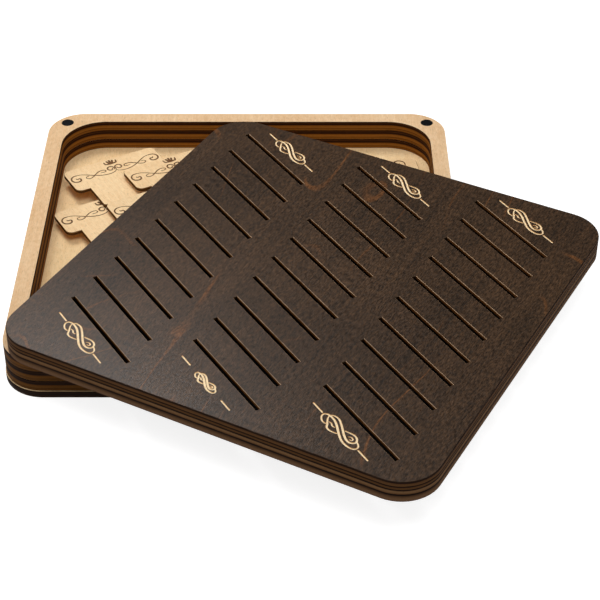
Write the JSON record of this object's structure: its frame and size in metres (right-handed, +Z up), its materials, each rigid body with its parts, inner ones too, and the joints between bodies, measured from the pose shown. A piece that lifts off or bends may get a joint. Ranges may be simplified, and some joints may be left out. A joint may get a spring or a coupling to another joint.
{
  "type": "score board",
  "caption": "Square plywood tray box of loose T-shaped plaques, closed by a thick dark slotted board that lies on it, held by corner magnets.",
  "frame": {"origin": "centre of the tray's underside", "axes": "+X to the right, +Y to the back of the tray, +Z up out of the tray"},
  "size_m": [0.3016, 0.327, 0.0347],
  "materials": {
    "natural_plywood": "matt, laser burnt edges",
    "stained_plywood": "dark satin stain",
    "plaque_plywood": "matt, engraved, laser burnt edges",
    "magnet": "black nickel plate"
  },
  "bodies": {
    "tray": {"base_plate": "natural_plywood", "lower_frame": "natural_plywood", "middle_frame": "natural_plywood", "upper_frame": "natural_plywood", "tray_magnets": "magnet"},
    "swivel": {"pivot_magnet": "magnet"},
    "board": {"slotted_board": "stained_plywood", "board_magnets": "magnet"},
    "plaque_01": {"plaque_01": "plaque_plywood"},
    "plaque_02": {"plaque_02": "plaque_plywood"},
    "plaque_03": {"plaque_03": "plaque_plywood"},
    "plaque_04": {"plaque_04": "plaque_plywood"},
    "plaque_05": {"plaque_05": "plaque_plywood"},
    "plaque_06": {"plaque_06": "plaque_plywood"},
    "plaque_07": {"plaque_07": "plaque_plywood"},
    "plaque_08": {"plaque_08": "plaque_plywood"},
    "plaque_09": {"plaque_09": "plaque_plywood"},
    "plaque_10": {"plaque_10": "plaque_plywood"},
    "plaque_11": {"plaque_11": "plaque_plywood"},
    "plaque_12": {"plaque_12": "plaque_plywood"},
    "plaque_13": {"plaque_13": "plaque_plywood"},
    "plaque_14": {"plaque_14": "plaque_plywood"},
    "plaque_15": {"plaque_15": "plaque_plywood"},
    "plaque_16": {"plaque_16": "plaque_plywood"},
    "plaque_17": {"plaque_17": "plaque_plywood"},
    "plaque_18": {"plaque_18": "plaque_plywood"},
    "plaque_19": {"plaque_19": "plaque_plywood"},
    "plaque_20": {"plaque_20": "plaque_plywood"},
    "plaque_21": {"plaque_21": "plaque_plywood"},
    "plaque_22": {"plaque_22": "plaque_plywood"},
    "plaque_23": {"plaque_23": "plaque_plywood"},
    "plaque_24": {"plaque_24": "plaque_plywood"},
    "plaque_25": {"plaque_25": "plaque_plywood"},
    "plaque_26": {"plaque_26": "plaque_plywood"},
    "plaque_27": {"plaque_27": "plaque_plywood"},
    "plaque_28": {"plaque_28": "plaque_plywood"},
    "plaque_29": {"plaque_29": "plaque_plywood"},
    "plaque_30": {"plaque_30": "plaque_plywood"}
  },
  "joints": [
    {"name": "board_swivel", "type": "hinge", "parent": "tray", "child": "swivel", "pos_m": [-0.105, -0.105, 0.0223], "axis": [0, 0, 1], "range_deg": [-16, 28.5]},
    {"name": "board_lift", "type": "slide", "parent": "swivel", "child": "board", "axis": [0, 0, 1], "range_m": [0, 0.12]},
    {"name": "plaque_01_lift", "type": "slide", "parent": "tray", "child": "plaque_01", "axis": [0, 0, 1], "range_m": [0, 0.0185]},
    {"name": "plaque_02_lift", "type": "slide", "parent": "tray", "child": "plaque_02", "axis": [0, 0, 1], "range_m": [0, 0.0185]},
    {"name": "plaque_03_lift", "type": "slide", "parent": "tray", "child": "plaque_03", "axis": [0, 0, 1], "range_m": [0, 0.0185]},
    {"name": "plaque_04_lift", "type": "slide", "parent": "tray", "child": "plaque_04", "axis": [0, 0, 1], "range_m": [0, 0.0185]},
    {"name": "plaque_05_lift", "type": "slide", "parent": "tray", "child": "plaque_05", "axis": [0, 0, 1], "range_m": [0, 0.0185]},
    {"name": "plaque_06_lift", "type": "slide", "parent": "tray", "child": "plaque_06", "axis": [0, 0, 1], "range_m": [0, 0.0185]},
    {"name": "plaque_07_lift", "type": "slide", "parent": "tray", "child": "plaque_07", "axis": [0, 0, 1], "range_m": [0, 0.0185]},
    {"name": "plaque_08_lift", "type": "slide", "parent": "tray", "child": "plaque_08", "axis": [0, 0, 1], "range_m": [0, 0.0185]},
    {"name": "plaque_09_lift", "type": "slide", "parent": "tray", "child": "plaque_09", "axis": [0, 0, 1], "range_m": [0, 0.0365]},
    {"name": "plaque_10_lift", "type": "slide", "parent": "tray", "child": "plaque_10", "axis": [0, 0, 1], "range_m": [0, 0.0365]},
    {"name": "plaque_11_lift", "type": "slide", "parent": "tray", "child": "plaque_11", "axis": [0, 0, 1], "range_m": [0, 0.0365]},
    {"name": "plaque_12_lift", "type": "slide", "parent": "tray", "child": "plaque_12", "axis": [0, 0, 1], "range_m": [0, 0.0365]},
    {"name": "plaque_13_lift", "type": "slide", "parent": "tray", "child": "plaque_13", "axis": [0, 0, 1], "range_m": [0, 0.0365]},
    {"name": "plaque_14_lift", "type": "slide", "parent": "tray", "child": "plaque_14", "axis": [0, 0, 1], "range_m": [0, 0.0365]},
    {"name": "plaque_15_lift", "type": "slide", "parent": "tray", "child": "plaque_15", "axis": [0, 0, 1], "range_m": [0, 0.0365]},
    {"name": "plaque_16_lift", "type": "slide", "parent": "tray", "child": "plaque_16", "axis": [0, 0, 1], "range_m": [0, 0.0545]},
    {"name": "plaque_17_lift", "type": "slide", "parent": "tray", "child": "plaque_17", "axis": [0, 0, 1], "range_m": [0, 0.0545]},
    {"name": "plaque_18_lift", "type": "slide", "parent": "tray", "child": "plaque_18", "axis": [0, 0, 1], "range_m": [0, 0.0545]},
    {"name": "plaque_19_lift", "type": "slide", "parent": "tray", "child": "plaque_19", "axis": [0, 0, 1], "range_m": [0, 0.0545]},
    {"name": "plaque_20_lift", "type": "slide", "parent": "tray", "child": "plaque_20", "axis": [0, 0, 1], "range_m": [0, 0.0545]},
    {"name": "plaque_21_lift", "type": "slide", "parent": "tray", "child": "plaque_21", "axis": [0, 0, 1], "range_m": [0, 0.0545]},
    {"name": "plaque_22_lift", "type": "slide", "parent": "tray", "child": "plaque_22", "axis": [0, 0, 1], "range_m": [0, 0.0725]},
    {"name": "plaque_23_lift", "type": "slide", "parent": "tray", "child": "plaque_23", "axis": [0, 0, 1], "range_m": [0, 0.0725]},
    {"name": "plaque_24_lift", "type": "slide", "parent": "tray", "child": "plaque_24", "axis": [0, 0, 1], "range_m": [0, 0.0725]},
    {"name": "plaque_25_lift", "type": "slide", "parent": "tray", "child": "plaque_25", "axis": [0, 0, 1], "range_m": [0, 0.0725]},
    {"name": "plaque_26_lift", "type": "slide", "parent": "tray", "child": "plaque_26", "axis": [0, 0, 1], "range_m": [0, 0.0725]},
    {"name": "plaque_27_lift", "type": "slide", "parent": "tray", "child": "plaque_27", "axis": [0, 0, 1], "range_m": [0, 0.0845]},
    {"name": "plaque_28_lift", "type": "slide", "parent": "tray", "child": "plaque_28", "axis": [0, 0, 1], "range_m": [0, 0.0845]},
    {"name": "plaque_29_lift", "type": "slide", "parent": "tray", "child": "plaque_29", "axis": [0, 0, 1], "range_m": [0, 0.0845]},
    {"name": "plaque_30_lift", "type": "slide", "parent": "tray", "child": "plaque_30", "axis": [0, 0, 1], "range_m": [0, 0.0965]}
  ],
  "couplings": [
    {"joint": "plaque_01_lift", "follows": "board_lift", "ratio": 0.15},
    {"joint": "plaque_02_lift", "follows": "board_lift", "ratio": 0.15},
    {"joint": "plaque_03_lift", "follows": "board_lift", "ratio": 0.15},
    {"joint": "plaque_04_lift", "follows": "board_lift", "ratio": 0.15},
    {"joint": "plaque_05_lift", "follows": "board_lift", "ratio": 0.15},
    {"joint": "plaque_06_lift", "follows": "board_lift", "ratio": 0.15},
    {"joint": "plaque_07_lift", "follows": "board_lift", "ratio": 0.15},
    {"joint": "plaque_08_lift", "follows": "board_lift", "ratio": 0.15},
    {"joint": "plaque_09_lift", "follows": "board_lift", "ratio": 0.3},
    {"joint": "plaque_10_lift", "follows": "board_lift", "ratio": 0.3},
    {"joint": "plaque_11_lift", "follows": "board_lift", "ratio": 0.3},
    {"joint": "plaque_12_lift", "follows": "board_lift", "ratio": 0.3},
    {"joint": "plaque_13_lift", "follows": "board_lift", "ratio": 0.3},
    {"joint": "plaque_14_lift", "follows": "board_lift", "ratio": 0.3},
    {"joint": "plaque_15_lift", "follows": "board_lift", "ratio": 0.3},
    {"joint": "plaque_16_lift", "follows": "board_lift", "ratio": 0.45},
    {"joint": "plaque_17_lift", "follows": "board_lift", "ratio": 0.45},
    {"joint": "plaque_18_lift", "follows": "board_lift", "ratio": 0.45},
    {"joint": "plaque_19_lift", "follows": "board_lift", "ratio": 0.45},
    {"joint": "plaque_20_lift", "follows": "board_lift", "ratio": 0.45},
    {"joint": "plaque_21_lift", "follows": "board_lift", "ratio": 0.45},
    {"joint": "plaque_22_lift", "follows": "board_lift", "ratio": 0.6},
    {"joint": "plaque_23_lift", "follows": "board_lift", "ratio": 0.6},
    {"joint": "plaque_24_lift", "follows": "board_lift", "ratio": 0.6},
    {"joint": "plaque_25_lift", "follows": "board_lift", "ratio": 0.6},
    {"joint": "plaque_26_lift", "follows": "board_lift", "ratio": 0.6},
    {"joint": "plaque_27_lift", "follows": "board_lift", "ratio": 0.7},
    {"joint": "plaque_28_lift", "follows": "board_lift", "ratio": 0.7},
    {"joint": "plaque_29_lift", "follows": "board_lift", "ratio": 0.7},
    {"joint": "plaque_30_lift", "follows": "board_lift", "ratio": 0.8}
  ]
}
